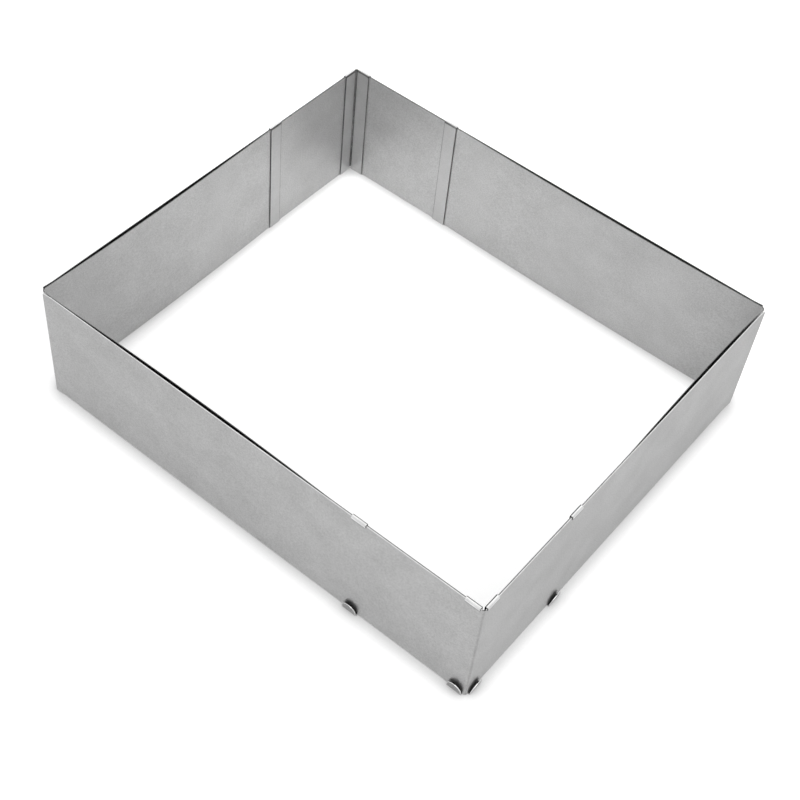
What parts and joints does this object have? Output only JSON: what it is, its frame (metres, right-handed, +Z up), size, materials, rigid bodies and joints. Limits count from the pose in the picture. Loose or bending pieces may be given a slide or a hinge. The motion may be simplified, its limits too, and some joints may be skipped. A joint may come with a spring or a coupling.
{
  "type": "adjustable_baking_frame",
  "caption": "Adjustable rectangular stainless steel baking frame: telescoping L-shaped sheets held by full-height guide clips, open at top and bottom, sliding wider and longer",
  "frame": {"origin": "middle of the closed frame in plan, on the surface it stands on", "axes": "+X along the long walls towards the near and right corners, +Y along the short walls away from the near corner, +Z up"},
  "size_m": [0.2844, 0.2504, 0.0761],
  "materials": {
    "panel_steel": "satin cold-rolled stainless sheet",
    "clip_steel": "satin stainless strip"
  },
  "bodies": {
    "near": {"near_panel": "panel_steel"},
    "left": {"left_panel": "panel_steel", "south_end_clip": "clip_steel", "south_mid_clip": "clip_steel", "west_end_clip": "clip_steel", "west_mid_clip": "clip_steel"},
    "right": {"right_panel": "panel_steel", "east_end_clip": "clip_steel", "east_mid_clip": "clip_steel", "north_end_clip": "clip_steel", "north_mid_clip": "clip_steel"},
    "far": {"far_panel": "panel_steel"}
  },
  "joints": [
    {"name": "length_slide", "type": "slide", "parent": "near", "child": "left", "axis": [-1, 0, 0], "range_m": [0, 0.198]},
    {"name": "width_slide", "type": "slide", "parent": "near", "child": "right", "axis": [0, 1, 0], "range_m": [0, 0.164]},
    {"name": "far_slide", "type": "slide", "parent": "left", "child": "far", "axis": [0, 1, 0], "range_m": [0, 0.164]}
  ],
  "couplings": [
    {"joint": "far_slide", "follows": "width_slide", "ratio": 1}
  ]
}
